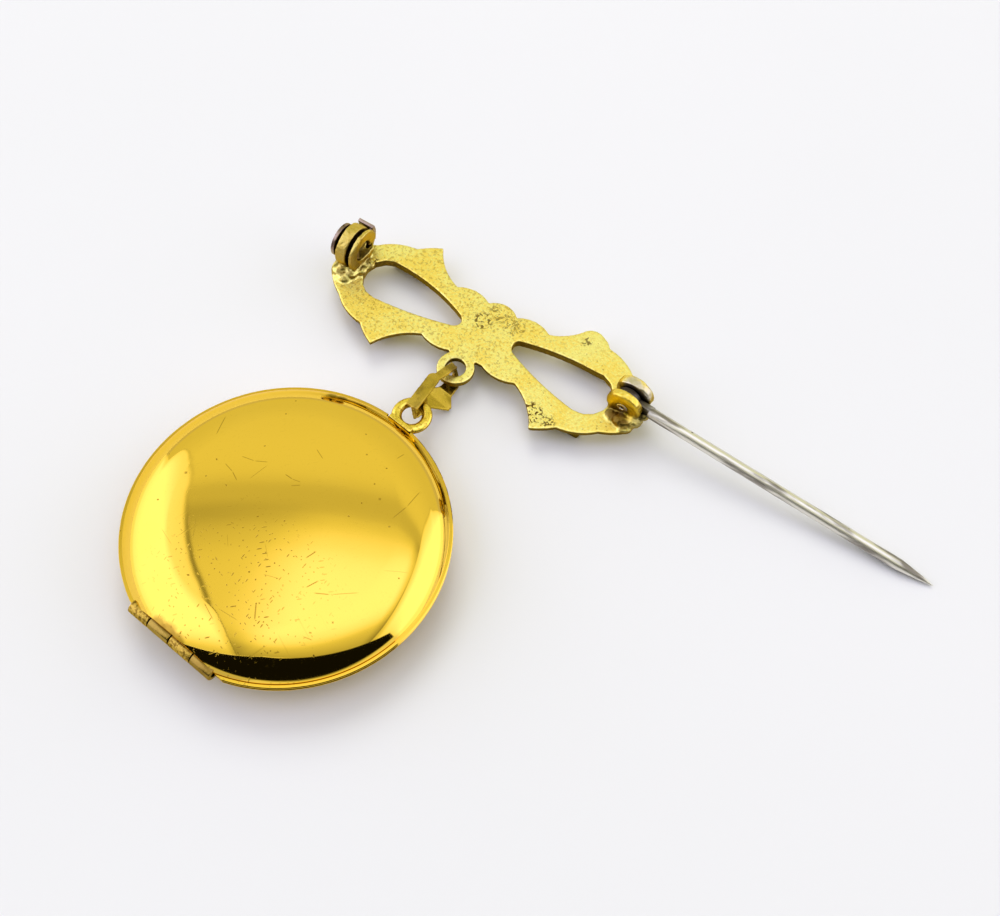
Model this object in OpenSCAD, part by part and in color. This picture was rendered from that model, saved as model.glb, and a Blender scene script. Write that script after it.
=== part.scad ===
// Gilt locket brooch lying face down, with its pin opened out.
// Millimetres. X runs along the bar from the catch to the pin's joint, Y from the
// locket to the bar, and Z is up. Each piece shows its back, which is its upper side.

/* [Bar] */
// Length of the pierced bar
bar_l = 31.05; // [30.75:0.05:31.3]
// Width of the bar across its pointed wings
bar_w = 11.9; // [11.6:0.1:12.2]
// Thickness of the bar's plate
plate_t = 0.88; // [0.8:0.02:0.95]
// Height of the plate's back above the ground
back_z = 2; // [1.95:0.01:2.05]
// How far the plate's front edge is bevelled in
bevel_in = 0.3; // [0.2:0.02:0.36]

/* [Drop ring] */
// Outer radius of the ring that the locket hangs from
ring_r = 1.66; // [1.6:0.02:1.7]
// Radius of the hole in that ring
ring_hole_r = 0.9; // [0.88:0.01:0.94]

/* [Pin] */
// Length of the pin from its pivot to its point
pin_l = 29.45; // [29.3:0.05:29.6]
// Radius of the pin's wire
pin_r = 0.51; // [0.45:0.01:0.52]
// Length of the pin's tapered point
taper_l = 3.2; // [3:0.1:3.5]
// Height of the pivot above the ground
pivot_z = 3.2; // [3.15:0.01:3.25]
// Height of the point above the ground, with the pin opened out
point_z = 0.2; // [0.2:0.01:0.24]

/* [Catch] */
// Radius of the catch's two cheeks
catch_r = 1.95; // [1.9:0.01:1.98]
// Height of the catch's axis above the ground
catch_z = 3.85; // [3.8:0.01:3.95]
// Radius of the lock's barrel
barrel_r = 0.95; // [0.9:0.01:0.95]

/* [Locket] */
// Outer radius of the locket's rims
locket_r = 13.45; // [13.4:0.05:13.5]
// Wall of the two shells
shell_t = 0.45; // [0.4:0.05:0.5]
// Turn of the locket under the bar, in degrees
locket_turn = -8.5; // [-9:0.1:-8]

/* [Locket hinge] */
// Outer radius of the knuckles
knuckle_r = 0.64; // [0.6:0.01:0.66]
// Distance of the hinge's axis from the locket's centre
hinge_d = 12.45; // [12.4:0.01:12.5]

/* [Hidden] */
$fn = 64;

// Colours
gilt = [0.83, 0.66, 0.22];
bright_gilt = [0.9, 0.72, 0.2];
brown_brass = [0.42, 0.3, 0.2];
olive_brass = [0.66, 0.56, 0.28];
nickel = [0.66, 0.64, 0.6];

// Small lengths that many pieces share
eps = 0.01;
run_gap = 0.03;
seam_gap = 0.1;

// Places, counted from the middle of the bar
ring_x = -0.41;
ring_y = -4.1;
locket_x = -3.2;
locket_y = -25.17;
pivot_x = 14.08;
pivot_y = 0.36;
// The pin and the catch lie on one line, which is turned a little from the bar
pin_turn = -1;

// Locket shells
flange_w = 0.33;
flange_t = 0.22;
// Upright foot of the dome, under its round shoulder
foot_t = 0.2;
dome_foot_r = locket_r - flange_w;
dome_foot_h = seam_gap / 2 + flange_t + foot_t;
// The dome's slope where its shoulder, its bend and its crown start, from the foot inwards
shoulder_slope = 54;
bend_slope = 20;
crown_slope = 8;
shoulder_r = 5.09;
bend_r = 8;
// Centres of those three arcs in section, as distance from the locket's axis and height
shoulder_centre = [dome_foot_r - shoulder_r * sin(shoulder_slope),
                   dome_foot_h - shoulder_r * cos(shoulder_slope)];
bend_centre = shoulder_centre
    + (shoulder_r - bend_r) * [sin(bend_slope), cos(bend_slope)];
// The crown's centre is on the locket's axis
crown_r = bend_r + bend_centre.x / sin(crown_slope);
crown_centre_h = bend_centre.y + (bend_r - crown_r) * cos(crown_slope);
// The front shell's crown lies on the ground
seam_z = crown_centre_h + crown_r;

// Knuckle lengths along the hinge, from its left end
knuckles = [2.06, 2.2, 2.28, 2.12];
knuckle_gap = 0.08;
hinge_l = knuckles[0] + knuckles[1] + knuckles[2] + knuckles[3] + 3 * knuckle_gap;
hinge_x = -0.3;
hinge_pin_r = 0.28;
// Half the length of the rims' straight cut along the hinge
rim_cut = 5.4;

// How far the opened pin slopes down to its point
rest_dip = asin((pivot_z - point_z) / pin_l);

// The part's own origin is under the middle of its box
frame_x = (locket_x - locket_r + pivot_x + pin_l * cos(rest_dip) * cos(pin_turn)) / 2;
hinge_low_y = locket_y + (hinge_x + hinge_l / 2) * sin(locket_turn)
    - (hinge_d + knuckle_r) * cos(locket_turn);
frame_y = (hinge_low_y + bar_w / 2) / 2;

module in_frame() {
    translate([-frame_x, -frame_y, 0]) children();
}

// Frame of the pin's line: origin under the pivot, X towards the open pin's point
module on_pin_line() {
    in_frame() translate([pivot_x, pivot_y, 0]) rotate([0, 0, pin_turn]) children();
}

// Frame of the locket: origin under its centre, Y towards its loop
module on_locket() {
    in_frame() translate([locket_x, locket_y, 0]) rotate([0, 0, locket_turn]) children();
}

// A round bar along X, from one x to another
module bar_x(x0, x1, r) {
    translate([x0, 0, 0]) rotate([0, 90, 0]) cylinder(h = x1 - x0, r = r);
}

// A round bar along Y, from one y to another
module bar_y(y0, y1, r) {
    translate([0, y0, 0]) rotate([-90, 0, 0]) cylinder(h = y1 - y0, r = r);
}

// Outlines

// Points of an arc from a to b, without b. Its crown stands rise to the right of
// the way from a to b, and a negative rise makes it hollow.
function arc(a, b, rise, steps = 8) =
    abs(rise) < eps ? [a] :
    let (
        chord = norm(b - a),
        along = (b - a) / chord,
        out = [along.y, -along.x],
        radius = (chord * chord / 4 + rise * rise) / (2 * abs(rise)),
        side = sign(rise),
        centre = (a + b) / 2 + out * (rise - side * radius),
        from_a = a - centre,
        sweep = 2 * (abs(rise) > radius ? 180 - asin(chord / 2 / radius)
                                        : asin(chord / 2 / radius))
    )
    [for (i = [0:steps - 1])
        let (t = side * sweep * i / steps)
        centre + [from_a.x * cos(t) - from_a.y * sin(t),
                  from_a.x * sin(t) + from_a.y * cos(t)]];

// Points along a table whose rows are: corner x, corner y, rise of the side that follows
function along_table(rows) =
    [for (i = [0:len(rows) - 2])
        each arc([rows[i][0], rows[i][1]], [rows[i + 1][0], rows[i + 1][1]], rows[i][2])];

function mirror_x(points) = [for (i = [len(points) - 1:-1:0]) [-points[i].x, points[i].y]];
function mirror_y(points) = [for (i = [len(points) - 1:-1:0]) [points[i].x, -points[i].y]];

// One quarter of the bar's edge, from its end round to the waist, with its wing's tip
function quarter(end, corner, tip, waist, scallop) =
    let (rows = concat(
        [[end, 0, 0.22],
         [end - corner.x, corner.y, 0.12],
         [13.3, 3.1, 0.33],
         [10, 4.65, 0.1]],
        tip,
        [[4.75, waist, scallop],
         [1.45, waist, 0]]))
    concat(along_table(rows), [[1.45, waist]]);

// Corner of the blunt end: how far it stays back from the end, and its half width
round_corner = [0.45, 1.95];
worn_corner = [0.15, 1.4];
sharp_tip = [[8.05, 5.95, -0.42]];
worn_tip = [[9.1, 5.35, 0.32], [7.35, 5.2, -0.3]];
waist_top = 3.1;
waist_low = 2.78;
centre_scallop = 0.62;
right_end = 15.65;
left_end = 15.4;
// Length and half width that the quarters are drawn at
drawn_l = right_end + left_end;
drawn_w = 5.95;

// The points without the ones that the next point repeats
function distinct(points) =
    [for (i = [0:len(points) - 1])
        if (norm(points[i] - points[(i + 1) % len(points)]) > eps) points[i]];

bar_outline = [for (p = distinct(concat(
    quarter(right_end, round_corner, worn_tip, waist_top, 0.5),
    arc([1.45, waist_top], [-1.45, waist_top], centre_scallop),
    mirror_x(quarter(left_end, round_corner, sharp_tip, waist_top, 0.5)),
    mirror_x(mirror_y(quarter(left_end, worn_corner, sharp_tip, waist_low, 0.4))),
    mirror_y(quarter(right_end, round_corner, sharp_tip, waist_low, 0.4)))))
    [p.x * bar_l / drawn_l, p.y * bar_w / 2 / drawn_w]];

// The two openings: blunt near the middle of the bar and round at its ends
right_opening = along_table([
    [2.62, 0.5, 0.1],
    [3.0, -0.18, 0.25],
    [10.3, -2.36, 2.57],
    [10.0, 1.95, 0.25],
    [2.95, 1.12, 0.12],
    [2.62, 0.5, 0]]);
left_opening = along_table([
    [-2.5, 0.1, 0.06],
    [-2.9, 0.7, 0.38],
    [-10.0, 2.36, 2.38],
    [-10.5, -1.79, 0.22],
    [-2.95, -0.56, 0.12],
    [-2.5, 0.1, 0]]);

// The points moved inwards by d, on an outline that runs anticlockwise
function inset(points, d) =
    [for (i = [0:len(points) - 1])
        let (
            last = points[(i + len(points) - 1) % len(points)],
            here = points[i],
            next = points[(i + 1) % len(points)],
            u = (here - last) / norm(here - last),
            v = (next - here) / norm(next - here),
            nu = [-u.y, u.x],
            nv = [-v.y, v.x])
        here + d * (nu + nv) / (1 + nu * nv)];

// Bar

cheek_in = 0.57;
near_cheek = 1.05;
far_cheek = 1.47;
joint_r = 1.5;
slot_floor = back_z + 0.08;
// Solder and cheeks start this far under the plate's back
sink = 0.3;
rivet_r = 0.42;
rivet_hole_r = 0.2;
countersink_r = 0.62;
countersink_t = 0.18;

// The catch's cheeks along the pin's line, counted from the pivot
left_cheek = [-29.0, -27.95];
right_cheek = [-27.58, -27.2];
// The mouth of the cheeks opens sideways, under the lock's tab
mouth_z = [-1.1, -0.3];

module openings_cut() {
    for (opening = [right_opening, left_opening])
        translate([0, 0, -1]) linear_extrude(back_z + 2) polygon(opening);
}

// A plain ridge of the front's relief, which the bar rests on
module ridge(x0, x1, y, r) {
    h = back_z - plate_t + eps;
    for (x = [x0, x1]) translate([x, y, 0]) cylinder(h = h, r1 = r - 0.15, r2 = r);
    translate([x0, y - r + 0.15, 0]) cube([x1 - x0, 2 * r - 0.3, h]);
}

module bar_plate() {
    upper_t = 0.42;
    difference() {
        union() {
            translate([0, 0, back_z - upper_t]) linear_extrude(upper_t) polygon(bar_outline);
            translate([0, 0, back_z - plate_t])
                linear_extrude(plate_t - upper_t + eps) polygon(inset(bar_outline, bevel_in));
        }
        openings_cut();
    }
    for (side = [-1, 1]) {
        ridge(7.9, 11.3, side * 3.35, 0.5);
        ridge(-11.3, -7.9, side * 3.35, 0.5);
    }
    cylinder(h = back_z - plate_t + eps, r1 = 1.5, r2 = 2.1);
}

ring_t = 0.6;

module drop_ring() {
    translate([ring_x, ring_y, back_z - ring_t]) cylinder(h = ring_t, r = ring_r);
}

module drop_ring_hole() {
    translate([ring_x, ring_y, -1]) cylinder(h = back_z + 2, r = ring_hole_r);
}

// Room under the plate's middle, where no cheek or solder reaches
module under_plate(x) {
    half = 3;
    translate([x - half, -half, 0]) cube([2 * half, 2 * half, back_z - plate_t + sink]);
}

// Two soldered cheeks with the pin's slot between them
module joint_cheeks() {
    base_l = 2.4;
    base_h = 0.8;
    solder_r = 1.45;
    solder_h = 0.55;
    difference() {
        union() {
            translate([0, 0, pivot_z]) bar_y(-near_cheek, far_cheek, joint_r);
            translate([-0.2, 0, back_z - sink]) cylinder(h = solder_h, r = solder_r);
            translate([-base_l / 2, -near_cheek, back_z - sink])
                cube([base_l, near_cheek + far_cheek, base_h]);
        }
        translate([-3, -cheek_in, slot_floor]) cube([6, 2 * cheek_in, 4]);
        under_plate(0);
    }
}

module joint_bore() {
    translate([0, 0, pivot_z]) bar_y(-2, 2, rivet_r + run_gap);
    translate([0, 0, pivot_z]) bar_y(-2, -near_cheek + countersink_t, countersink_r);
}

// Two soldered cheeks that hold the lock's barrel
module catch_cheeks() {
    base_w = 2.2;
    base_h = 1.02;
    solder_r = 1.5;
    solder_h = 0.6;
    solder_x = -28.3;
    difference() {
        union() {
            for (x = [left_cheek, right_cheek])
                translate([0, 0, catch_z]) bar_x(x[0], x[1], catch_r);
            translate([left_cheek[0], -base_w / 2, back_z - sink])
                cube([right_cheek[1] - left_cheek[0], base_w, base_h]);
            translate([solder_x, -0.35, back_z - sink]) cylinder(h = solder_h, r = solder_r);
        }
        under_plate(solder_x);
    }
}

module catch_bore() {
    bore_r = barrel_r + 0.05;
    start = left_cheek[0] - 1;
    translate([0, 0, catch_z]) bar_x(start, right_cheek[1] + 1, bore_r);
    translate([start, 0, catch_z + mouth_z[0]])
        cube([right_cheek[1] + 1 - start, 2 * catch_r, mouth_z[1] - mouth_z[0]]);
}

module bar() {
    color(gilt) difference() {
        union() {
            in_frame() bar_plate();
            in_frame() drop_ring();
            on_pin_line() joint_cheeks();
            on_pin_line() catch_cheeks();
        }
        in_frame() drop_ring_hole();
        on_pin_line() joint_bore();
        on_pin_line() catch_bore();
    }
}

// Catch's lock: a slotted barrel, a flange outside the left cheek and a thumb tab

flange = [left_cheek[0] - 0.72, left_cheek[0] - 0.36];
flange_r = 1.55;
barrel_end = right_cheek[1] - 0.2;

module catch_lock() {
    arm = [left_cheek[1] + 0.06, right_cheek[0] - 0.06];
    arm_z = [0.3, 0.62];
    // The tab's cap hangs over the left cheek's rim, with a hollow behind it
    cap = [left_cheek[0] - 0.2, right_cheek[0] - 0.06];
    cap_in = catch_r + 0.28;
    cap_out = cap_in + 0.26;
    cap_low = -0.85;
    // Half width of the pin's seat in the barrel
    seat = 0.4;
    color(brown_brass) on_pin_line() translate([0, 0, catch_z]) {
        difference() {
            bar_x(flange[0] + eps, barrel_end, barrel_r);
            translate([flange[1], -seat, -2]) cube([4, 4, 2 + seat]);
        }
        bar_x(flange[0], flange[1], flange_r);
        translate([arm[0], 0, arm_z[0]])
            cube([arm[1] - arm[0], cap_out - eps, arm_z[1] - arm_z[0]]);
        translate([cap[0], cap_in, cap_low])
            cube([cap[1] - cap[0], cap_out - cap_in, arm_z[1] - cap_low]);
        translate([cap[0], catch_r + 0.1, cap_low])
            cube([cap[1] - cap[0], cap_in - catch_r, 0.3]);
    }
}

// Pin: an eye on the rivet, a short squared neck, a straight wire and a tapered point

eye_r = 1.05;
eye_t = 0.98;
neck_w = 0.9;
neck_end = joint_r + 1.1;

module pin_stem() {
    tip_r = 0.04;
    color(nickel) on_pin_line() translate([0, 0, pivot_z]) rotate([0, rest_dip, 0])
        difference() {
            union() {
                bar_y(-eye_t / 2, eye_t / 2, eye_r);
                translate([0, -neck_w / 2, -neck_w / 2]) cube([neck_end, neck_w, neck_w]);
                bar_x(neck_end, pin_l - taper_l, pin_r);
                translate([pin_l - taper_l, 0, 0]) rotate([0, 90, 0])
                    cylinder(h = taper_l, r1 = pin_r, r2 = tip_r);
            }
            bar_y(-2, 2, rivet_r + run_gap);
        }
}

// Tubular rivet through the joint's cheeks and the pin's eye
module joint_rivet() {
    color(olive_brass) on_pin_line() translate([0, 0, pivot_z]) difference() {
        union() {
            bar_y(-near_cheek, far_cheek + 0.05, rivet_r);
            bar_y(-near_cheek, -near_cheek + countersink_t - run_gap, rivet_r + 0.1);
            bar_y(far_cheek + run_gap, far_cheek + 0.24, 0.7);
        }
        bar_y(-3, 0, rivet_hole_r);
    }
}

// Connector link, folded from one strip with a faceted plate on the front

loop_d = 14.8;
loop_turn = -1.4;
loop_top_z = seam_z - seam_gap / 2;
loop_r = 1.75;
loop_hole_r = 0.84;
loop_t = 0.6;

// A flat strip from a to b, w wide and t thick
module strip(a, b, w, t) {
    way = b - a;
    flat = norm([way.x, way.y]);
    translate(a) rotate([0, -atan2(way.z, flat), atan2(way.y, way.x)])
        translate([-t / 2, -w / 2, -t / 2]) cube([norm(way) + t, w, t]);
}

// The plate's middle line, from the bar's ring to the locket's loop
plate_a = [-0.3, -4.2, 0.62];
plate_b = [-0.74, -10.05, 2.0];
// Rows across the plate: share of that line, left and right width, roll in degrees, lift
plate_rows = [
    [0, 0.38, 0.38, 0, 0],
    [0.14, 0.3, 0.85, 6, 0],
    [0.35, 0.3, 1.05, 24, 0.16],
    [0.47, 0.95, 1.68, 30, -0.04],
    [0.54, 1.3, 1.68, 30, -0.04],
    [0.72, 0.48, 0.48, 14, 0],
    [1, 0.3, 0.3, 0, 0]];

// A corner of a row: side is 1 for its left width and 2 for its right one
function plate_corner(row, side, up) =
    let (mid = plate_a + (plate_b - plate_a) * row[0], out = (2 * side - 3) * row[side])
    [mid.x + out * cos(row[3]), mid.y, mid.z + row[4] + up - out * sin(row[3])];

module link_plate(t) {
    n = len(plate_rows);
    points = concat(
        [for (row = plate_rows) each [plate_corner(row, 1, t / 2), plate_corner(row, 2, t / 2)]],
        [for (row = plate_rows) each [plate_corner(row, 1, -t / 2), plate_corner(row, 2, -t / 2)]]);
    low = 2 * n;
    polyhedron(points = points, faces = concat(
        [for (i = [0:n - 2]) let (k = 2 * i) each [[k, k + 1, k + 3], [k, k + 3, k + 2]]],
        [for (i = [0:n - 2]) let (k = low + 2 * i) each [[k, k + 3, k + 1], [k, k + 2, k + 3]]],
        [for (i = [0:n - 2]) let (k = 2 * i) each [
            [k, k + 2, low + k + 2], [k, low + k + 2, low + k],
            [k + 1, low + k + 1, low + k + 3], [k + 1, low + k + 3, k + 3]]],
        [[0, low, low + 1], [0, low + 1, 1],
         [low - 2, low - 1, 2 * low - 1], [low - 2, 2 * low - 1, 2 * low - 2]]));
}

module connector_link() {
    strip_t = 0.3;
    ring_top = [-0.42, -4.45, 2.62];
    ring_end = [-0.86, -6.8, 3.38];
    loop_top = [-0.86, -10.12, 3.72];
    loop_end = [-0.84, -6.95, 3.64];
    end_r = 0.55;
    color(olive_brass) in_frame() {
        link_plate(0.28);
        strip(plate_a, ring_top, 0.72, strip_t);
        strip(ring_top, ring_end, 0.74, strip_t);
        strip(plate_b, loop_top, 0.5, 0.24);
        strip(loop_top, loop_end, 2 * end_r, strip_t);
        translate(loop_end) cylinder(h = strip_t, r = end_r, center = true);
    }
}

// Locket shells

// Half of a shell's dome in section, moved inwards by d
module dome_section(d) {
    steps = 6;
    // Each arc's centre, radius, first and last slope
    arcs = [
        [shoulder_centre, shoulder_r, shoulder_slope, bend_slope],
        [bend_centre, bend_r, bend_slope, crown_slope],
        [[0, crown_centre_h], crown_r, crown_slope, 0]];
    skin = [for (row = arcs, i = [0:steps])
        let (slope = row[2] + (row[3] - row[2]) * i / steps)
        row[0] + (row[1] - d) * [sin(slope), cos(slope)]];
    polygon(concat([[0, 0], [skin[0].x, 0]], distinct(skin)));
}

// Room that the hinge takes out of a shell: its back leans out with height
module hinge_room(d) {
    lean = 0.42;
    high = 3;
    half_l = hinge_l / 2 + 0.12 + d;
    back_y = -hinge_d + knuckle_r + 0.15 + d;
    translate([hinge_x - half_l, 0, 0]) rotate([90, 0, 90]) linear_extrude(2 * half_l)
        polygon([[back_y, -1], [-locket_r - 2, -1], [-locket_r - 2, high],
                 [back_y - lean * high, high], [back_y, 0]]);
}

// One shell, back upwards, with the seam at height 0
module shell() {
    difference() {
        union() {
            rotate_extrude() dome_section(0);
            translate([0, 0, seam_gap / 2]) cylinder(h = flange_t, r = locket_r);
        }
        difference() {
            rotate_extrude() dome_section(shell_t);
            hinge_room(shell_t);
        }
        hinge_room(0);
        translate([0, 0, -1]) cylinder(h = 1 + seam_gap / 2, r = locket_r + 1);
    }
}

// Hinge

function knuckle_start(i) =
    i == 0 ? -hinge_l / 2 : knuckle_start(i - 1) + knuckles[i - 1] + knuckle_gap;

module on_hinge() {
    translate([hinge_x, -hinge_d, 0]) children();
}

// A shell with its own knuckles and the webs that carry them, back upwards
module hinged_shell(own) {
    web_t = 0.24;
    web_l = 0.75;
    difference() {
        union() {
            difference() {
                shell();
                translate([-rim_cut, -hinge_d - 5, -1]) cube([2 * rim_cut, 5, 3]);
            }
            for (i = own) on_hinge() {
                bar_x(knuckle_start(i), knuckle_start(i) + knuckles[i], knuckle_r);
                translate([knuckle_start(i), 0, seam_gap / 2])
                    cube([knuckles[i], knuckle_r + web_l, web_t]);
            }
        }
        on_hinge() bar_x(-hinge_l, hinge_l, hinge_pin_r + run_gap);
    }
}

// The locket's loop and the flat foot that it is soldered to the rim with
foot_l = 2.4;
foot_w = 0.5;
foot_in = dome_foot_r + 0.1;

module locket_loop() {
    low = loop_top_z - loop_t;
    rotate([0, 0, loop_turn]) difference() {
        union() {
            translate([0, loop_d, low]) cylinder(h = loop_t, r = loop_r);
            translate([-foot_l / 2, foot_in, low])
                cube([foot_l, foot_w, seam_z + seam_gap / 2 + flange_t - low]);
        }
        translate([0, loop_d, low - 1]) cylinder(h = loop_t + 2, r = loop_hole_r);
        cylinder(h = seam_z, r = dome_foot_r - 0.15);
    }
}

module locket_front() {
    color(bright_gilt) on_locket() {
        translate([0, 0, seam_z]) mirror([0, 0, 1]) hinged_shell([0, 2]);
        locket_loop();
    }
}

module locket_back() {
    color(bright_gilt) on_locket() translate([0, 0, seam_z]) difference() {
        hinged_shell([1, 3]);
        // The back's rim makes room for the loop's foot
        rotate([0, 0, loop_turn]) translate([-foot_l / 2 - 0.12, dome_foot_r, -1])
            cube([foot_l + 0.24, 1, 1 + seam_gap / 2 + flange_t + 0.05]);
    }
}

module locket_hinge_pin() {
    color(brown_brass) on_locket() translate([0, 0, seam_z])
        on_hinge() bar_x(-hinge_l / 2 + 0.1, hinge_l / 2 - 0.3, hinge_pin_r);
}

bar();
catch_lock();
pin_stem();
joint_rivet();
connector_link();
locket_front();
locket_back();
locket_hinge_pin();
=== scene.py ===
"""Gilt locket brooch lying face down with its pin opened out, on a pale table.

The pieces are modelled in millimetres, in the frames of the bar, the pin's line and the
locket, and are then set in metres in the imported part's own frame.
"""

import logging
import math
from contextlib import contextmanager
from dataclasses import dataclass
from enum import Enum
from typing import Iterable, Iterator, Optional, Sequence

import bpy
from mathutils import Matrix, Vector


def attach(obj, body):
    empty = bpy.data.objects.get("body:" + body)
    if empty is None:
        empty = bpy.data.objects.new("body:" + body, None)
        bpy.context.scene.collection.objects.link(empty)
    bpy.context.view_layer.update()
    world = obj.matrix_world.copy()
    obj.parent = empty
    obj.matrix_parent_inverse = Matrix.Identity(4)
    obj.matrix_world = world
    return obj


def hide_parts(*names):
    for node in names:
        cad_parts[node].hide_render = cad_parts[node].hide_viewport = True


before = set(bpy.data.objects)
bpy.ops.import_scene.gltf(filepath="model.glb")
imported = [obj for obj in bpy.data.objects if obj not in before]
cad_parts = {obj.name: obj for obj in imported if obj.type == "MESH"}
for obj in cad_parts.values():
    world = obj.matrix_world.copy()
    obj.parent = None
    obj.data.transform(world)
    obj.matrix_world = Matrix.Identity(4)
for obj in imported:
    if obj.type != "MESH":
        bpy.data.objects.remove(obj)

log = logging.getLogger("locket_brooch")

Obj = bpy.types.Object
Socket = bpy.types.NodeSocket
Triple = tuple[float, float, float]
Rgb = Triple
Line = tuple[float, float]
Trace = tuple[tuple[float, float], ...]

TO_METRES = Matrix.Scale(0.001, 4)
UPSIDE_DOWN = Matrix.Scale(-1, 4, (0, 0, 1))


def turned_by(degrees: float, axis: str) -> Matrix:
    """Returns a turn by degrees about an axis."""
    return Matrix.Rotation(math.radians(degrees), 4, axis)


def edged(r: float, low: float, high: float, edge: float) -> list[Line]:
    """Returns a disc's section, from low to high, with bevelled edges."""
    return [(r - edge, low), (r, low + edge), (r, high - edge), (r - edge, high)]


@dataclass(frozen=True)
class Place:
    """A local frame of the brooch: its origin in millimetres and its turn about Z."""

    x: float
    y: float
    z: float = 0.0
    turn: float = 0.0

    def matrix(self) -> Matrix:
        """Returns the frame's place on the part, in millimetres."""
        return Matrix.Translation((self.x, self.y, self.z)) @ turned_by(self.turn, "Z")


BAR = Place(-13.3612, 16.3898)
PIN_LINE = Place(0.7188, 16.7498, 3.2, -1.0)
LOCKET = Place(-16.5612, -8.7802, 3.30356, -8.5)


class Body(Enum):
    """The part's moving bodies."""

    ROOT = "root"
    LID = "lid"
    PIN = "pin"
    LOCK = "lock"


class Bench:
    """Modelling steps that the pieces share, in millimetres."""

    @staticmethod
    def clear() -> None:
        """Leaves edit mode and selects nothing."""
        if bpy.context.object and bpy.context.object.mode != "OBJECT":
            bpy.ops.object.mode_set(mode="OBJECT")
        bpy.ops.object.select_all(action="DESELECT")

    @staticmethod
    def only(obj: Obj) -> None:
        """Selects one object and makes it active.

        Args:
            obj: The object.
        """
        Bench.clear()
        obj.select_set(True)
        bpy.context.view_layer.objects.active = obj

    @staticmethod
    @contextmanager
    def editing(obj: Obj) -> Iterator[None]:
        """Enters edit mode with all of an object selected, and leaves it afterwards.

        Args:
            obj: The object.

        Returns:
            A context to edit it in.
        """
        Bench.only(obj)
        bpy.ops.object.mode_set(mode="EDIT")
        bpy.ops.mesh.select_all(action="SELECT")
        yield
        bpy.ops.object.mode_set(mode="OBJECT")

    @staticmethod
    def modify(obj: Obj, kind: str, **settings: object) -> None:
        """Applies one modifier.

        Args:
            obj: Object to change.
            kind: Blender's name for the modifier.
            **settings: Its properties.
        """
        Bench.only(obj)
        modifier = obj.modifiers.new(kind.lower(), kind)
        for key, value in settings.items():
            setattr(modifier, key, value)
        bpy.ops.object.modifier_apply(modifier=modifier.name)

    @staticmethod
    def settle(obj: Obj) -> None:
        """Applies the object's own place, turn and scale to its mesh."""
        Bench.only(obj)
        bpy.ops.object.transform_apply(location=True, rotation=True, scale=True)

    @staticmethod
    def move(obj: Obj, matrix: Matrix) -> Obj:
        """Moves an object's mesh.

        Args:
            obj: The object.
            matrix: Where to, from its present place.

        Returns:
            The object.
        """
        obj.matrix_world = matrix @ obj.matrix_world
        Bench.settle(obj)
        return obj

    @staticmethod
    def turned(name: str, profile: Sequence[tuple[float, float]], segments: int = 64) -> Obj:
        """Turns a closed solid round Z, ring by ring.

        Args:
            name: Object's name.
            profile: Radius and height of each ring. A last radius of 0 closes in a point.
            segments: Points in a ring.

        Returns:
            The solid, with its faces outwards.
        """
        Bench.clear()
        radius, height = profile[0]
        bpy.ops.mesh.primitive_circle_add(
            vertices=segments, radius=radius, location=(0, 0, height), fill_type="NGON"
        )
        obj = bpy.context.object
        obj.name = name
        with Bench.editing(obj):
            for (ra, za), (rb, zb) in zip(profile, profile[1:]):
                rise = (0, 0, zb - za)
                bpy.ops.mesh.extrude_region_move(TRANSFORM_OT_translate={"value": rise})
                if rb <= 0:
                    bpy.ops.mesh.merge(type="CENTER")
                    break
                k = rb / ra
                bpy.ops.transform.resize(value=(k, k, 1), center_override=(0, 0, zb))
            bpy.ops.mesh.select_all(action="SELECT")
            bpy.ops.mesh.normals_make_consistent(inside=False)
        Bench.settle(obj)
        return obj

    @staticmethod
    def block(name: str, low: Sequence[float], high: Sequence[float], bevel: float = 0) -> Obj:
        """Makes a block between two corners.

        Args:
            name: Object's name.
            low: Its lower corner.
            high: Its upper corner.
            bevel: Width of its rounded edges, or 0 for sharp ones.

        Returns:
            The block.
        """
        Bench.clear()
        size = [b - a for a, b in zip(low, high)]
        middle = [(a + b) / 2 for a, b in zip(low, high)]
        bpy.ops.mesh.primitive_cube_add(size=1, location=middle, scale=size)
        obj = bpy.context.object
        obj.name = name
        Bench.settle(obj)
        if bevel:
            Bench.modify(obj, "BEVEL", width=bevel, segments=3)
        return obj

    @staticmethod
    def carve(obj: Obj, tool: Obj, way: str = "DIFFERENCE") -> None:
        """Cuts, joins or crosses an object with a tool, which is used up."""
        Bench.modify(obj, "BOOLEAN", object=tool, operation=way, solver="EXACT")
        bpy.data.objects.remove(tool)

    @staticmethod
    def joined(name: str, parts: Sequence[Obj]) -> Obj:
        """Joins parts in one object.

        Args:
            name: The whole's name.
            parts: The parts, of which the first takes in the others.

        Returns:
            The whole.
        """
        Bench.clear()
        for part in parts:
            part.select_set(True)
        bpy.context.view_layer.objects.active = parts[0]
        if len(parts) > 1:
            bpy.ops.object.join()
        parts[0].name = name
        return parts[0]

    @staticmethod
    def node_copy(node: str) -> Obj:
        """Copies a node's mesh and merges its loose triangles.

        Args:
            node: The node's name.

        Returns:
            The copy, in millimetres.
        """
        Bench.clear()
        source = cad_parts[node]
        obj = bpy.data.objects.new(node + "_skin", source.data.copy())
        bpy.context.scene.collection.objects.link(obj)
        obj.data.materials.clear()
        Bench.move(obj, Matrix.Scale(1000, 4))
        with Bench.editing(obj):
            bpy.ops.mesh.remove_doubles(threshold=0.0005)
        return obj

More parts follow.
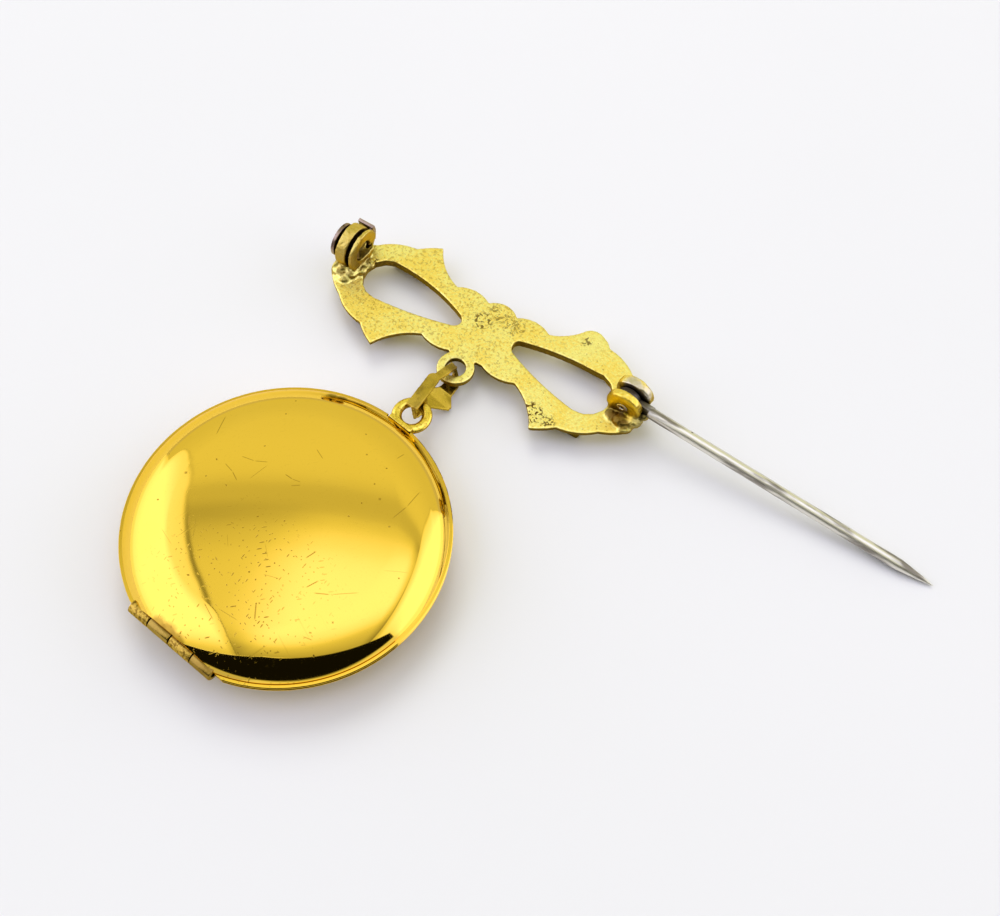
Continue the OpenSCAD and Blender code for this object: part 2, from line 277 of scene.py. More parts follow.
    @staticmethod
    def soften(obj: Obj, voxel: float, rounds: int) -> Obj:
        """Melts an object's closed parts together and softens their edges.

        Args:
            obj: The object.
            voxel: Size of its new mesh's faces.
            rounds: How many times that mesh is smoothed.

        Returns:
            The object.
        """
        Bench.modify(obj, "REMESH", mode="VOXEL", voxel_size=voxel, adaptivity=0.0)
        Bench.modify(obj, "SMOOTH", factor=0.5, iterations=rounds)
        return obj

    @staticmethod
    def blob(drop: Sequence[float], flat: float) -> Obj:
        """Makes a flattened drop of solder.

        Args:
            drop: Its middle and its radius.
            flat: Its height as a share of its width.

        Returns:
            The drop.
        """
        Bench.clear()
        *middle, radius = drop
        bpy.ops.mesh.primitive_ico_sphere_add(subdivisions=2, radius=radius, location=middle)
        obj = bpy.context.object
        Bench.settle(obj)
        with Bench.editing(obj):
            bpy.ops.transform.resize(value=(1, 1, flat), center_override=middle)
        return obj

    @staticmethod
    def lumps(obj: Obj, weights: Iterable[float], size: float, height: float) -> None:
        """Pushes the surface out and in by a cloud pattern.

        Args:
            obj: Object to change.
            weights: Strength at each point, from 0 to 1.
            size: Size of a lump.
            height: Height of a lump.
        """
        group = obj.vertex_groups.new(name="lumps")
        for i, weight in enumerate(weights):
            if weight > 0:
                group.add([i], weight, "REPLACE")
        clouds = bpy.data.textures.new(obj.name + "_lumps", "CLOUDS")
        clouds.noise_scale = size
        clouds.noise_depth = 1
        Bench.modify(
            obj, "DISPLACE", texture=clouds, texture_coords="LOCAL", strength=height,
            mid_level=0.5, vertex_group="lumps",
        )
        obj.vertex_groups.clear()

    @staticmethod
    def deliver(
        obj: Obj, body: Body, finish: "Finish", replaces: Sequence[str] = (), angle: float = 35
    ) -> Obj:
        """Sets a finished piece in metres, dresses it and lets it ride on its body.

        Args:
            obj: The piece, in millimetres, in the part's frame.
            body: Body that it moves with.
            finish: Its finish.
            replaces: Nodes that it stands for.
            angle: Edges sharper than this many degrees stay sharp.

        Returns:
            The piece.
        """
        Bench.move(obj, TO_METRES)
        Bench.only(obj)
        bpy.ops.object.shade_smooth_by_angle(angle=math.radians(angle))
        obj.data.materials.clear()
        obj.data.materials.append(finish.material())
        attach(obj, body.value)
        if replaces:
            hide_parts(*replaces)
        log.info("%s: %d faces, on %s", obj.name, len(obj.data.polygons), body.value)
        return obj


class Sketch:
    """A node tree being drawn, with short words for the nodes that the finishes use."""

    def __init__(self, tree: bpy.types.NodeTree) -> None:
        """Starts on a tree.

        Args:
            tree: The tree.
        """
        self.tree = tree

    def add(self, kind: str, values: Optional[dict] = None, **settings: object) -> bpy.types.Node:
        """Adds a node.

        Args:
            kind: Its type, without ShaderNode.
            values: Inputs by name or number. A socket is linked, anything else is set.
            **settings: Its properties.

        Returns:
            The node.
        """
        node = self.tree.nodes.new("ShaderNode" + kind)
        for key, value in settings.items():
            setattr(node, key, value)
        for key, value in (values or {}).items():
            self.plug(node.inputs[key], value)
        return node

    def plug(self, socket: Socket, value: object) -> None:
        """Links a socket to another, or sets it.

        Args:
            socket: An input.
            value: Another socket, or a number, a direction or a colour.
        """
        if isinstance(value, bpy.types.NodeSocket):
            self.tree.links.new(value, socket)
        elif socket.type == "RGBA":
            socket.default_value = (*value, 1.0)
        else:
            socket.default_value = value

    def math(self, way: str, a: object, b: object = 0.0) -> Socket:
        """Returns what an operation makes of one or two numbers."""
        return self.add("Math", {0: a, 1: b}, operation=way).outputs[0]

    def plus(self, a: object, b: object) -> Socket:
        """Returns the sum of two numbers."""
        return self.math("ADD", a, b)

    def minus(self, a: object, b: object) -> Socket:
        """Returns a less b."""
        return self.math("SUBTRACT", a, b)

    def times(self, a: object, b: object) -> Socket:
        """Returns the product of two numbers."""
        return self.math("MULTIPLY", a, b)

    def most(self, a: object, b: object) -> Socket:
        """Returns the larger of two numbers."""
        return self.math("MAXIMUM", a, b)

    def ramp(
        self, value: Socket, low: float, high: float, start: float = 0.0, end: float = 1.0
    ) -> Socket:
        """Draws a soft step.

        Args:
            value: What it reads.
            low: Value at the step's start.
            high: Value at its end.
            start: Result up to low.
            end: Result from high on.

        Returns:
            The result.
        """
        node = self.add(
            "MapRange",
            {"Value": value, "From Min": low, "From Max": high, "To Min": start, "To Max": end},
            interpolation_type="SMOOTHSTEP",
        )
        return node.outputs["Result"]

    def mix(self, share: Socket, a: object, b: object) -> Socket:
        """Mixes two colours.

        Args:
            share: Share of b.
            a: First colour.
            b: Second colour.

        Returns:
            The colour between.
        """
        node = self.add("Mix", data_type="RGBA")
        for key, value in ((0, share), (6, a), (7, b)):
            self.plug(node.inputs[key], value)
        return node.outputs[2]

    def dot(self, direction: Socket, axis: Sequence[float]) -> Socket:
        """Returns how far a direction goes along an axis."""
        node = self.add("VectorMath", {0: direction, 1: tuple(axis)}, operation="DOT_PRODUCT")
        return node.outputs["Value"]

    def curve(self, value: Socket, points: Sequence[tuple[float, float]]) -> Socket:
        """Draws a curve through points, with both axes from 0 to 1.

        Args:
            value: What it reads.
            points: The curve's points.

        Returns:
            The curve's height.
        """
        node = self.add("FloatCurve", {"Value": value})
        node.mapping.extend = "HORIZONTAL"
        line = node.mapping.curves[0]
        line.points[0].location = points[0]
        line.points[1].location = points[-1]
        for point in points[1:-1]:
            line.points.new(*point)
        node.mapping.update()
        return node.outputs[0]


class Metal(Sketch):
    """A metal finish being drawn. Its patterns read Object coordinates in millimetres."""

    def __init__(self, name: str, edge: Rgb = (1.0, 0.86, 0.42)) -> None:
        """Starts a new metal material.

        Args:
            name: The material's name.
            edge: Tint of the reflection at grazing angles.
        """
        self.made = bpy.data.materials.new(name)
        self.made.use_nodes = True
        super().__init__(self.made.node_tree)
        self.shader = self.tree.nodes["Principled BSDF"]
        self.shader.inputs["Metallic"].default_value = 1.0
        self.shader.inputs["Specular Tint"].default_value = (*edge, 1.0)
        self.point = self.view((1000.0, 1000.0, 1000.0))

    def view(
        self, scale: Triple, turn: Triple = (0.0, 0.0, 0.0), shift: Triple = (0.0, 0.0, 0.0)
    ) -> Socket:
        """Reads Object coordinates.

        Args:
            scale: Factor along each axis.
            turn: Turn in degrees.
            shift: Shift in millimetres.

        Returns:
            The coordinates, shifted and turned and then scaled.
        """
        place = self.add("TexCoord").outputs["Object"]
        spin = tuple(math.radians(a) for a in turn)
        start = tuple(0.001 * s for s in shift)
        turned = self.add("Mapping", {"Vector": place, "Rotation": spin, "Location": start})
        return self.add("Mapping", {"Vector": turned.outputs[0], "Scale": scale}).outputs[0]

    def noise(
        self, per_mm: float, detail: float = 2.0, warp: float = 0.0, at: Optional[Socket] = None
    ) -> Socket:
        """Draws a cloud pattern.

        Args:
            per_mm: Clouds in a millimetre.
            detail: How many finer patterns lie over it.
            warp: How far it is twisted.
            at: Coordinates, or none for the piece's own.

        Returns:
            The pattern, from 0 to 1.
        """
        node = self.add(
            "TexNoise",
            {"Vector": at or self.point, "Scale": per_mm, "Detail": detail, "Distortion": warp},
        )
        return node.outputs[0]

    def warped(self, reach: float, per_mm: float = 3.0) -> Socket:
        """Shakes the coordinates, so that edges grow uneven.

        Args:
            reach: How far, in millimetres.
            per_mm: Shakes in a millimetre.

        Returns:
            The coordinates, moved by about half of reach along each axis.
        """
        cloud = self.add("TexNoise", {"Vector": self.point, "Scale": per_mm, "Detail": 2.0})
        shift = self.add(
            "VectorMath", {0: cloud.outputs["Color"], "Scale": reach}, operation="SCALE"
        )
        return self.add("VectorMath", {0: self.point, 1: shift.outputs[0]}).outputs[0]

    def spots(
        self, per_mm: float, size: float, share: float, at: Optional[Socket] = None,
        flat: bool = False,
    ) -> Socket:
        """Returns 1 in scattered spots.

        Args:
            per_mm: Cells in a millimetre.
            size: Radius of a spot, in cells.
            share: Share of the cells that have a spot.
            at: Coordinates, or none for the piece's own.
            flat: Whether the spots are laid out on the XY plane alone.

        Returns:
            The spots' mask.
        """
        cell = self.add(
            "TexVoronoi", {"Vector": at or self.point, "Scale": per_mm},
            voronoi_dimensions="2D" if flat else "3D",
        )
        red = self.add("SeparateColor", {0: cell.outputs["Color"]}).outputs[0]
        there = self.ramp(red, share, share + 0.02, 1.0, 0.0)
        round_ = self.ramp(cell.outputs["Distance"], size * 0.6, size, 1.0, 0.0)
        return self.times(there, round_)

    def hairs(self, marks: "Hairs", worn: float) -> Socket:
        """Draws fine straight marks on the XY plane.

        Args:
            marks: The marks' direction, number, depth and length.
            worn: How worn the piece is, from 0 to 1.

        Returns:
            The marks' depth.
        """
        k = 1000.0
        share = marks.share * worn
        spin = (0.0, 0.0, -marks.turn)
        at = self.view((k / marks.long, k, k), spin, (marks.per_mm, share, 0.0))
        return self.times(self.spots(marks.per_mm, marks.wide, share, at, flat=True), marks.deep)

    def scratch(self, mark: "Scratch") -> Socket:
        """Draws one scratch, seen from above.

        Args:
            mark: The scratch.

        Returns:
            Its depth.
        """
        ax, ay, bx, by = (0.001 * c for c in (mark.ax, mark.ay, mark.bx, mark.by))
        long = math.hypot(bx - ax, by - ay)
        place = {
            "Vector": self.add("TexCoord").outputs["Object"],
            "Location": ((ax + bx) / 2, (ay + by) / 2, 0.0),
            "Rotation": (0.0, 0.0, math.atan2(by - ay, bx - ax)),
            "Scale": (long / 2 + 0.00004, 0.001 * mark.wide, 1.0),
        }
        unit = self.add("Mapping", place, vector_type="TEXTURE").outputs[0]
        size = self.add("VectorMath", {0: unit}, operation="ABSOLUTE").outputs[0]
        axes = self.add("SeparateXYZ", {0: size}).outputs
        far = self.most(axes[0], axes[1])
        return self.ramp(far, 0.55, 1.0, mark.deep, 0.0)

    def near(self, at: Socket, place: "StainAndShade", core: float, shift: float = 0.0) -> Socket:
        """Returns how deep a point lies in a place.

        Args:
            at: The point's coordinates.
            place: The place.
            core: Share of its radius that is at its full depth.
            shift: How far the coordinates are moved along each axis.

        Returns:
            The depth, which fades out at the place's radius.
        """
        middle = (place.x + shift, place.y + shift, place.z + shift)
        far = self.add("VectorMath", {0: at, 1: middle}, operation="DISTANCE").outputs["Value"]
        return self.ramp(far, place.r * core, place.r, place.deep, 0.0)

    def within(self, places: Sequence["StainAndShade"]) -> Socket:
        """Finds how deep a point lies in places.

        Args:
            places: The places.

        Returns:
            The greatest depth in any of them.
        """
        most = None
        for place in places:
            share = self.near(self.point, place, 0.6)
            most = share if most is None else self.most(most, share)
        return most

    def stained_and_shaded(self, colour: object, stains_and_shade: Sequence["StainAndShade"]) -> object:
        """Lays stains and patches of painted shade over a colour.

        Args:
            colour: The colour under them.
            stains_and_shade: The stains and patches of painted shade, the last one uppermost.

        Returns:
            The colour with them laid over.
        """
        shake = 0.5
        at = self.warped(shake, 2.2) if stains_and_shade else None
        for toned_patch in stains_and_shade:
            colour = self.mix(self.near(at, toned_patch, 0.45, shake / 2), colour, toned_patch.tone)
        return colour

    def cavity(self, reach: float, low: float = 0.3, high: float = 0.85) -> Socket:
        """Returns 1 in crevices narrower than about reach in millimetres, and 0 in the open: the
        mask of the painted shade.
        """
        near = self.add("AmbientOcclusion", {"Distance": reach / 1000}, samples=8)
        return self.ramp(near.outputs["AO"], low, high, 1.0, 0.0)

    def dress(
        self, colour: object, rough: object, height: Optional[Socket] = None, depth: float = 0.01
    ) -> bpy.types.Material:
        """Sets the shader.

        Args:
            colour: Base colour, a socket or red, green and blue.
            rough: Roughness, a socket or a number.
            height: Relief from 0 to 1.
            depth: Depth of the relief in millimetres.

        Returns:
            The material.
        """
        self.plug(self.shader.inputs["Base Color"], colour)
        self.plug(self.shader.inputs["Roughness"], rough)
        if height is not None:
            bump = self.add("Bump", {"Height": height, "Distance": depth / 1000, "Strength": 1.0})
            self.plug(self.shader.inputs["Normal"], bump.outputs[0])
        return self.made


@dataclass(frozen=True)
class Finish:
    """A finish of the brooch. Each kind draws its own material once."""

    name: str
    slot: str

    def material(self) -> bpy.types.Material:
        """Returns the finish's material, drawn on first use."""
        return bpy.data.materials.get(self.name) or self.draw()

    def draw(self) -> bpy.types.Material:
        """Draws the material."""
        raise NotImplementedError


@dataclass(frozen=True)
class Scratch:
    """A scratch seen from above: its ends in the part's frame, and its half width."""

    ax: float
    ay: float
    bx: float
    by: float
    wide: float = 0.045
    deep: float = 0.6


@dataclass(frozen=True)
class Hairs:
    """Fine straight marks: their direction in degrees from X, their number and their size.

    per_mm marks lie in a millimetre across them, in a share of the places, and a mark is
    wide and long in those widths.
    """

    turn: float
    per_mm: float
    share: float
    deep: float = 0.4
    long: float = 16.0
    wide: float = 0.11


@dataclass(frozen=True)
class StainAndShade:
    """A patch of colour round a point of the part's frame, with a soft uneven edge: a stain, and in
    some places painted shade.
    """

    x: float
    y: float
    z: float
    r: float
    deep: float = 0.7
    tone: Rgb = (0.12, 0.065, 0.012)


GREY: Rgb = (0.56, 0.52, 0.45)
# Near black: painted shade round the rivet, under the bar's ring and in the pin's joint, and dark
# spots at the catch's foot
SHADE_BLACK: Rgb = (0.035, 0.022, 0.012)
OLIVE: Rgb = (0.3, 0.24, 0.09)
AMBER: Rgb = (0.3, 0.17, 0.02)
BAR_STAINS_AND_SHADE = (
    StainAndShade(-26.5, 17.1, 3.6, 2.0, 0.75, OLIVE),
    StainAndShade(-26.3, 17.0, 3.8, 1.25, 0.85, (0.06, 0.045, 0.02)),
    StainAndShade(0.75, 15.35, 3.6, 2.1, 0.85, (0.75, 0.49, 0.012)),
    StainAndShade(-27.6, 15.1, 2.5, 0.6, 0.75),
    StainAndShade(-28.5, 15.6, 2.5, 0.55, 0.75, SHADE_BLACK),
    StainAndShade(-26.9, 14.6, 2.3, 0.5, 0.6),
    StainAndShade(-26.2, 16.5, 2.3, 0.4, 0.8, SHADE_BLACK),
    StainAndShade(-25.97, 17.5, 2.0, 0.4, 0.8, SHADE_BLACK),
    StainAndShade(-26.8, 15.3, 2.4, 0.4, 0.75),
    StainAndShade(-0.1, 15.3, 2.6, 0.9, 0.9),
    StainAndShade(0.7, 15.1, 2.5, 1.0, 0.9),
    StainAndShade(1.5, 14.9, 2.3, 0.7, 0.85),
    StainAndShade(2.3, 15.8, 2.3, 1.0, 0.8, OLIVE),
    # Painted shade in the recess round the rivet
    StainAndShade(0.73, 15.65, 3.25, 0.84, 1.0, SHADE_BLACK),
    StainAndShade(0.7, 17.4, 4.5, 1.15, 0.85, GREY),
    StainAndShade(1.75, 17.4, 3.9, 1.0, 0.85, GREY),
    # Painted shadow under the bar's ring, near the table
    StainAndShade(-13.87, 12.42, 0.9, 1.6, 1.0, SHADE_BLACK),
    StainAndShade(-27.9, 16.9, 4.4, 3.2, 0.65, (0.5, 0.33, 0.06)),
    # Painted shade on the far cheek's inner face beside the pin's neck
    StainAndShade(2.0, 17.2, 2.9, 1.0, 0.85, OLIVE),
)
BAR_WEAR = (
    StainAndShade(-14.3, 17.6, 2.0, 1.1, 0.85),
    StainAndShade(-13.4, 19.1, 2.0, 1.3, 0.6),
    StainAndShade(-11.6, 18.5, 2.0, 1.3, 0.55),
    StainAndShade(-5.9, 11.9, 2.0, 1.3, 1.0),
    StainAndShade(-4.3, 11.8, 2.0, 0.9, 0.9),
    StainAndShade(-5.4, 20.6, 2.0, 0.6, 0.8),
    StainAndShade(-25.9, 17.6, 2.0, 0.8, 0.9),
)
# Painted shade on the pin's eye and neck between the joint's cheeks
PIN_SHADE = (
    StainAndShade(0.9, 16.8, 3.3, 2.7, 0.9, SHADE_BLACK),
    StainAndShade(2.3, 16.7, 2.9, 0.9, 0.8, (0.14, 0.12, 0.07)),
)
LINK_STAINS = (StainAndShade(-13.0, 8.6, 2.2, 2.9, 0.85, (0.45, 0.31, 0.02)),)
LOCK_STAINS = (StainAndShade(-27.5, 19.2, 2.7, 1.25, 0.9, (0.6, 0.45, 0.1)),)
LOCKET_STAINS = (
    StainAndShade(-20.0, -20.9, 4.3, 0.95, 0.7, AMBER),
    StainAndShade(-19.0, -21.0, 4.4, 1.05, 0.8, AMBER),
    StainAndShade(-18.0, -21.2, 4.3, 0.95, 0.7, AMBER),
    StainAndShade(-20.2, 3.1, 4.3, 0.7, 0.85),
    StainAndShade(-19.4, 3.4, 4.2, 0.6, 0.85),
)

SCRATCHES = (
    Scratch(-26.11, -3.46, -25.55, -5.52, 0.05, 0.7),
    Scratch(-22.47, -6.17, -21.29, -6.0),
    Scratch(-21.29, -6.0, -20.3, -5.53),
    Scratch(-23.23, -7.38, -22.23, -7.71),
    Scratch(-22.23, -7.71, -21.43, -8.21, 0.05, 0.7),
    Scratch(-20.14, -5.75, -20.66, -7.6, 0.035, 0.5),
    Scratch(-18.44, -5.74, -17.71, -5.8, 0.05, 0.7),
    Scratch(-17.71, -5.8, -16.99, -5.68),
    Scratch(-8.75, -0.86, -8.8, -2.77, 0.05, 0.6),
    Scratch(-8.8, -2.77, -9.15, -4.34, 0.055, 0.7),
    Scratch(-10.73, -12.95, -9.6, -12.37, 0.055, 0.75),
    Scratch(-9.6, -12.37, -7.77, -10.96, 0.04, 0.6),
    Scratch(-10.95, -11.91, -11.48, -12.91, 0.06, 0.8),
    Scratch(-12.48, -10.0, -12.85, -10.92, 0.06, 0.8),
    Scratch(-14.04, -15.92, -13.33, -17.16, 0.07, 0.8),
    Scratch(-24.27, -14.59, -22.55, -15.39, 0.03, 0.4),
    Scratch(-17.71, -2.43, -16.73, -2.93),
    Scratch(-11.73, 1.33, -11.92, 0.52),
    Scratch(-16.23, -11.59, -15.39, -12.46, 0.035, 0.4),
    Scratch(-19.26, -12.45, -18.57, -13.33, 0.03, 0.4),
    Scratch(-17.54, -17.98, -16.1, -18.75, 0.05, 0.6),
    Scratch(-16.31, -17.81, -14.42, -17.82, 0.045, 0.5),
    Scratch(-14.92, -13.77, -13.61, -13.42, 0.035, 0.5),
    Scratch(-7.29, -8.44, -5.6, -7.36, 0.03, 0.35),
    Scratch(-17.44, -6.35, -16.83, -5.91, 0.06, 0.6),
    Scratch(-22.84, -12.71, -22.44, -13.31, 0.06, 0.8),
    Scratch(-9.51, -16.21, -8.77, -16.04, 0.05, 0.6),
    Scratch(-10.98, -3.5, -10.84, -3.4, 0.13, 0.75),
    Scratch(-25.58, -9.7, -25.42, -9.58, 0.13, 0.7),
    Scratch(-8.24, -14.1, -8.16, -14.06, 0.1, 0.8),
    Scratch(-14.12, -0.62, -14.02, -0.58, 0.09, 0.7),
    Scratch(-9.0, -5.1, -8.9, -5.0, 0.09, 0.7),
    Scratch(-21.46, -4.46, -21.4, -4.36, 0.07, 0.7),
    Scratch(-15.3, 1.03, -15.2, 1.03, 0.07, 0.7),
    Scratch(-9.28, -15.7, -9.12, -15.64, 0.08, 0.7),
)

HAIRS = (
    Hairs(40.0, 1.7, 0.3, 1.0, 4.0),
    Hairs(-15.0, 2.2, 0.3, 0.9, 3.0),
    Hairs(85.0, 1.9, 0.26, 1.0, 3.5),
    Hairs(62.0, 1.5, 0.06),
    Hairs(-28.0, 1.5, 0.05),
    Hairs(118.0, 1.5, 0.04),
)


@dataclass(frozen=True)
class PolishedGilt(Finish):
    """Thin bright gilding, polished, with scratches, hairlines, dust, small brown wear and painted
    shade in its crevices.
    """

    gold: Rgb = (0.93, 0.6, 0.07)
    pale: Rgb = (0.96, 0.64, 0.1)
    brown: Rgb = (0.3, 0.17, 0.012)
    # Colour of the painted shade in crevices
    dirt_and_shade: Rgb = (0.09, 0.05, 0.012)
    heart: Triple = (-15.8, -16.2, 0.0)
    rough: float = 0.05
    worn: float = 1.0
    crevice_shade: float = 0.5
    scratches: tuple[Scratch, ...] = ()
    stains_and_shade: tuple[StainAndShade, ...] = ()

    def draw(self) -> bpy.types.Material:
        """Draws the polished gilding.

        Returns:
            The material.
        """
        m = Metal(self.name)
        colour = m.mix(m.noise(0.1, 3.0), self.gold, self.pale)
        at = m.warped(0.25)
        # The fine wear lies in clouds, thickest round the dome's heart
        thick = m.ramp(m.noise(0.4, 2.0), 0.38, 0.55, 0.45, 1.0)
        far = m.add("VectorMath", {0: m.point, 1: self.heart}, operation="SUBTRACT").outputs[0]
        far = m.add("VectorMath", {0: far, 1: (1.0, 1.0, 0.0)}, operation="MULTIPLY").outputs[0]
        far = m.add("VectorMath", {0: far}, operation="LENGTH").outputs["Value"]
        low = m.times(thick, m.ramp(far, 3.0, 9.5, 1.0, 0.06))
        marks = m.times(m.spots(1.9, 0.13, 0.4 * self.worn, at, True), low)
        for hairs in HAIRS:
            marks = m.most(marks, m.times(m.hairs(hairs, self.worn), low))
        marks = m.most(marks, m.spots(0.5, 0.045, 0.12 * self.worn, at, True))
        height = m.minus(m.times(m.noise(0.5, 1.0), 0.25), m.times(marks, 0.3))
        for scratch in self.scratches:
            marks = m.most(marks, m.scratch(scratch))
        marks = m.times(marks, 0.85)
        colour = m.mix(marks, colour, self.brown)
        colour = m.stained_and_shaded(colour, self.stains_and_shade)
        # Painted shade in the crevices, from the occlusion mask
        dirt_and_shade = m.times(m.cavity(self.crevice_shade, 0.15, 0.6), 0.8)
        colour = m.mix(dirt_and_shade, colour, self.dirt_and_shade)
        rough = m.plus(m.times(marks, 0.3), self.rough)
        return m.dress(colour, rough, height, 0.008)


@dataclass(frozen=True)
class SatinGilt(Finish):
    """Cast and gilded metal: satin, finely pitted and brown in its pits, with painted shade on its
    steep walls, under its near edge and in its crevices.
    """

    gold: Rgb = (1.0, 0.76, 0.15)
    pale: Rgb = (1.0, 0.9, 0.3)
    brown: Rgb = (0.4, 0.22, 0.02)
    # Colours of the painted shade on the plate's steep walls and under its near edge
    wall: Rgb = (0.3, 0.17, 0.022)
    shade: Rgb = (0.1, 0.055, 0.008)
    etch: Rgb = (0.13, 0.07, 0.012)
    # Colour of the painted shade in crevices
    dirt_and_shade: Rgb = (0.05, 0.03, 0.01)
    rough: float = 0.34
    grain: float = 0.03
    pitted: float = 0.3
    stains_and_shade: tuple[StainAndShade, ...] = ()
    worn: tuple[StainAndShade, ...] = ()

    def draw(self) -> bpy.types.Material:
        """Draws the satin gilding.

        Returns:
            The material.
        """
        m = Metal(self.name)
        normal = m.add("TexCoord").outputs["Normal"]
        up = m.dot(normal, (0.0, 0.0, 1.0))
        tone = m.plus(m.times(m.noise(0.3, 2.0), 0.5), m.times(m.noise(4.5, 3.0), 0.5))
        colour = m.mix(m.ramp(tone, 0.4, 0.6), self.gold, self.pale)
        # Painted shade: steep walls turn towards the wall colour
        side = m.ramp(m.math("ABSOLUTE", up), 0.3, 0.8, 0.85, 0.0)
        colour = m.mix(side, colour, self.wall)
        # Painted shade: the walls under the plate's near edge are darker
        front = m.dot(normal, (0.35, -0.94, 0.0))
        axes = m.add("SeparateXYZ", {0: m.point}).outputs
        front = m.times(m.ramp(front, 0.35, 0.85, 0.0, 0.8), m.ramp(axes[2], 1.9, 2.2, 1.0, 0.0))
        colour = m.mix(front, colour, self.shade)
        patch = m.ramp(m.noise(0.35, 2.0), 0.45, 0.62)
        pits = m.times(m.spots(3.4, 0.3, self.pitted, m.warped(0.3)), patch)
        # Brown flecks, thickened towards the bar's left end as a painted shade that darkens that
        # end
        flecks = m.ramp(m.noise(3.6, 4.0, 0.6), 0.5, 0.66, 0.0, 0.5)
        flecks = m.times(flecks, m.ramp(axes[0], -12.0, -4.0, 1.0, 0.35))
        dirt_and_shade = m.most(m.times(pits, 0.55), flecks)
        colour = m.stained_and_shaded(m.mix(dirt_and_shade, colour, self.brown), self.stains_and_shade)
        if self.worn:
            etched = m.times(m.ramp(m.noise(2.5, 3.0, 1.2), 0.53, 0.57), m.within(self.worn))
            colour = m.mix(etched, colour, self.etch)
            pits = m.most(pits, etched)
        # Painted shade in the crevices, from the occlusion mask
        colour = m.mix(m.times(m.cavity(0.9), 0.92), colour, self.dirt_and_shade)
        height = m.minus(m.noise(6.5, 3.0), m.times(pits, 1.2))
        rough = m.plus(m.times(m.noise(2.3), 0.16), self.rough - 0.08)
        return m.dress(colour, rough, height, self.grain)


@dataclass(frozen=True)
class PlainMetal(Finish):
    """Plain worn metal of one colour with painted shade in its hollows."""

    light: Rgb = (0.6, 0.42, 0.1)
    dark: Rgb = (0.2, 0.13, 0.03)
    # Colour of the painted shade in hollows
    dirt_and_shade: Rgb = (0.03, 0.018, 0.01)
    rough: float = 0.28
    blot: float = 0.9
    low: float = 0.42
    high: float = 0.7
    grain: float = 0.012
    crevice_shade: float = 0.9
    reach: float = 0.7
    stains_and_shade: tuple[StainAndShade, ...] = ()

    def draw(self) -> bpy.types.Material:
        """Draws the plain metal.

        Returns:
            The material.
        """
        m = Metal(self.name)
        blot = m.ramp(m.noise(self.blot, 4.0, 0.3), self.low, self.high)
        fleck = m.spots(2.8, 0.26, 0.12)
        share = m.most(blot, m.times(fleck, 0.6))
        colour = m.stained_and_shaded(m.mix(share, self.light, self.dark), self.stains_and_shade)
        # Painted shade in the hollows, from the occlusion mask
        colour = m.mix(m.times(m.cavity(self.reach), self.crevice_shade), colour, self.dirt_and_shade)
        rough = m.plus(m.times(m.noise(2.2), 0.14), self.rough - 0.07)
        return m.dress(colour, rough, m.noise(4.2, 3.0), self.grain)


@dataclass(frozen=True)
class DrawnWire(Finish):
    """Drawn nickel wire with streaks along it, dark flecks and painted shade in its crevices."""

    light: Rgb = (0.8, 0.77, 0.68)
    dark: Rgb = (0.14, 0.115, 0.09)
    rough: float = 0.36
    stains_and_shade: tuple[StainAndShade, ...] = ()

    def draw(self) -> bpy.types.Material:
        """Draws the wire, with its streaks along the opened pin.

        Returns:
            The material.
        """
        m = Metal(self.name, (1.0, 1.0, 1.0))
        long = m.view((120.0, 1000.0, 1000.0), (0.0, 0.0, 1.0))
        streak = m.ramp(m.noise(1.6, 3.0, 0.0, long), 0.45, 0.66, 0.0, 0.8)
        fleck = m.times(m.spots(1.6, 0.2, 0.14), 0.8)
        share = m.most(streak, fleck)
        # Painted shade in the crevices, from the occlusion mask
        share = m.most(share, m.times(m.cavity(0.6), 0.9))
        rough = m.plus(m.times(streak, 0.2), self.rough)
        height = m.noise(2.4, 2.0, 0.0, long)
        colour = m.stained_and_shaded(m.mix(share, self.light, self.dark), self.stains_and_shade)
        return m.dress(colour, rough, height, 0.02)


BRIGHT_GILT = PolishedGilt(
    "polished_gilding", "bright_gilt", scratches=SCRATCHES, stains_and_shade=LOCKET_STAINS
)
# The front shell's long crevice reach paints shade on its underside near the table
UNDER_GILT = PolishedGilt("front_gilding", "bright_gilt", worn=0.5, crevice_shade=2.5)
CAST_GILT = SatinGilt("satin_gilding", "satin_gilt", stains_and_shade=BAR_STAINS_AND_SHADE, worn=BAR_WEAR)
LOOP_GILT = SatinGilt(
    "loop_gilding", "satin_gilt", (0.9, 0.64, 0.08), (0.95, 0.72, 0.12), rough=0.2,
    grain=0.012, pitted=0.15,
)
OLIVE_BRASS = PlainMetal("olive_metal", "olive_brass", (0.62, 0.43, 0.075), stains_and_shade=LINK_STAINS)
# The lock's longer crevice reach paints deeper shade in its recesses
MAUVE_BRASS = PlainMetal(
    "mauve_metal", "brown_brass", (0.4, 0.3, 0.24), (0.1, 0.055, 0.04), rough=0.3, reach=1.4,
    stains_and_shade=LOCK_STAINS,
)
SPECKLED_GILT = PlainMetal(
    "speckled_gilding", "bright_gilt", (0.55, 0.36, 0.06), (0.24, 0.14, 0.02), rough=0.3,
    blot=4.5, low=0.46, high=0.6, grain=0.03,
)
SMOOTH_BRASS = PlainMetal(
    "smooth_metal", "bright_gilt", (0.38, 0.25, 0.05), (0.26, 0.16, 0.03), rough=0.22, blot=0.5
)
RIVET_METAL = PlainMetal(
    "rivet_metal", "olive_brass", (0.85, 0.76, 0.6), (0.5, 0.4, 0.25), rough=0.25, crevice_shade=0.1
)
NICKEL = DrawnWire("drawn_wire", "nickel_wire", stains_and_shade=PIN_SHADE)


